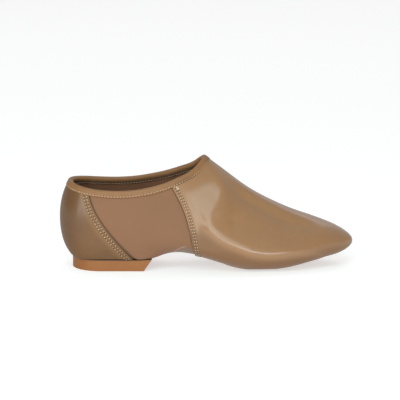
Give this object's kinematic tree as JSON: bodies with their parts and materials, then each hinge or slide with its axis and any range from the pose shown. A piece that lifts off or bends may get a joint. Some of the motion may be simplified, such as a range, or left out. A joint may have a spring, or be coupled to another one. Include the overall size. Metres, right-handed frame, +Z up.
{
  "type": "jazz dance shoe",
  "caption": "Slip-on split-sole jazz dance shoe for the right foot, with stretch side gores, leather vamp and counter, bound collar and low heel.",
  "frame": {"origin": "centre of the shoe's bounding box on the floor it stands on", "axes": "+X from heel to toe, +Y to the inner (medial) side of the right foot, +Z up"},
  "size_m": [0.25, 0.0799, 0.0956],
  "materials": {
    "stretch": "matte stretch knit",
    "vamp_leather": "smooth, soft gloss",
    "counter_leather": "smooth, soft gloss",
    "binding": "satin",
    "outsole": "matte",
    "heel_rubber": "matte",
    "insole_sock": "matte"
  },
  "bodies": {
    "root": {"upper": "stretch", "vamp": "vamp_leather", "counter": "counter_leather", "collar_binding": "binding", "outsole_forefoot": "outsole", "heel": "heel_rubber", "insole": "insole_sock"}
  },
  "joints": []
}
